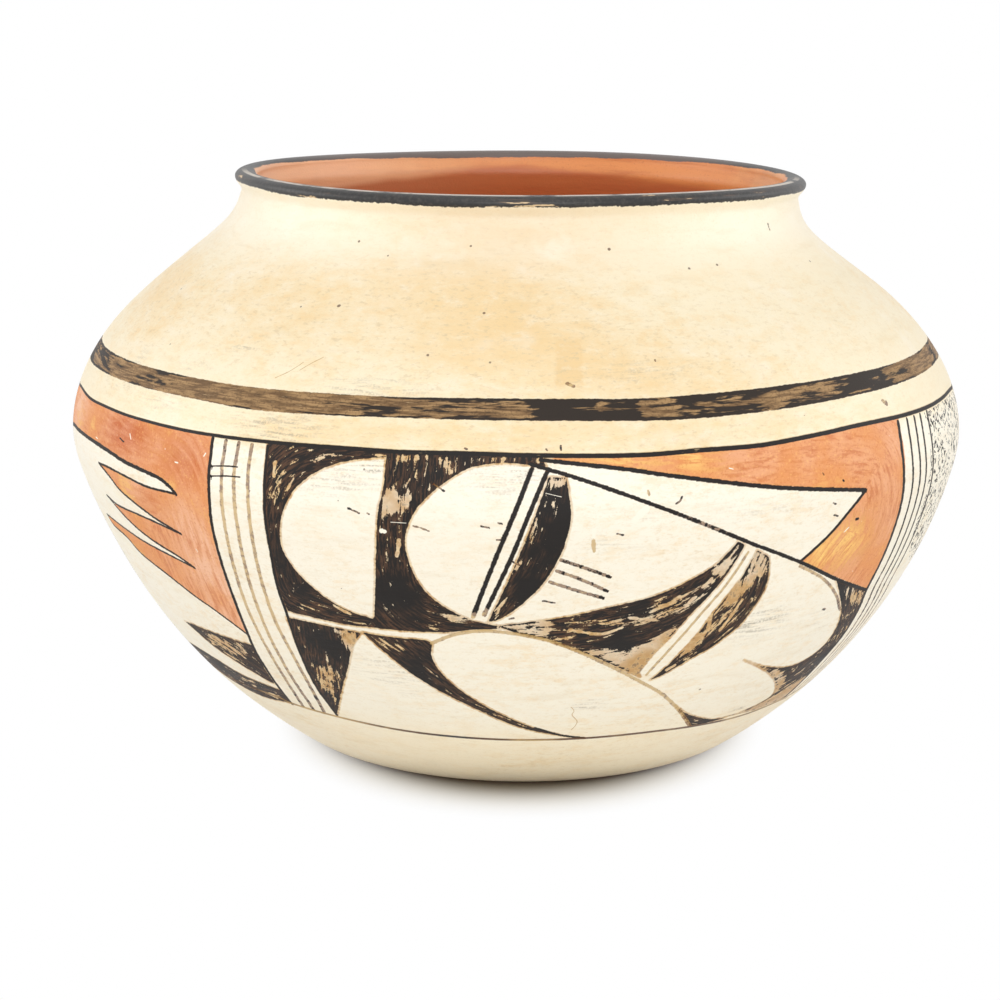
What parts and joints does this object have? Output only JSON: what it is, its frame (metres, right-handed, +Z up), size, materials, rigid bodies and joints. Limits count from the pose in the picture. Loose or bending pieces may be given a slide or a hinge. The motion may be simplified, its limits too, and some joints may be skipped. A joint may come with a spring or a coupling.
{
  "type": "clay pot",
  "caption": "Low wide coil-built clay jar with a rounded belly, a short neck, a rolled lip, an open mouth and a flat base.",
  "frame": {"origin": "middle of the flat underside, where the jar stands", "axes": "+Z up along the axis of the jar, out of the mouth; -Y towards the side that the picture shows"},
  "size_m": [0.2498, 0.2498, 0.1598],
  "materials": {
    "pale_slip": "Fired clay with a stone-polished cream slip, cloudy and a little worn, painted in black and red",
    "black_paint": "Thin matt black mineral paint over fired clay, worn through along the edge",
    "bare_clay": "Unslipped fired clay, orange-brown, smoothed by hand with faint wiping marks"
  },
  "bodies": {
    "root": {"base_pat": "bare_clay", "foot_coil": "pale_slip", "lower_wall_coil_1": "pale_slip", "lower_wall_coil_2": "pale_slip", "belly_coil_1": "pale_slip", "belly_coil_2": "pale_slip", "shoulder_coil_1": "pale_slip", "shoulder_coil_2": "pale_slip", "neck_coil": "pale_slip", "lip_coil": "black_paint"}
  },
  "joints": []
}
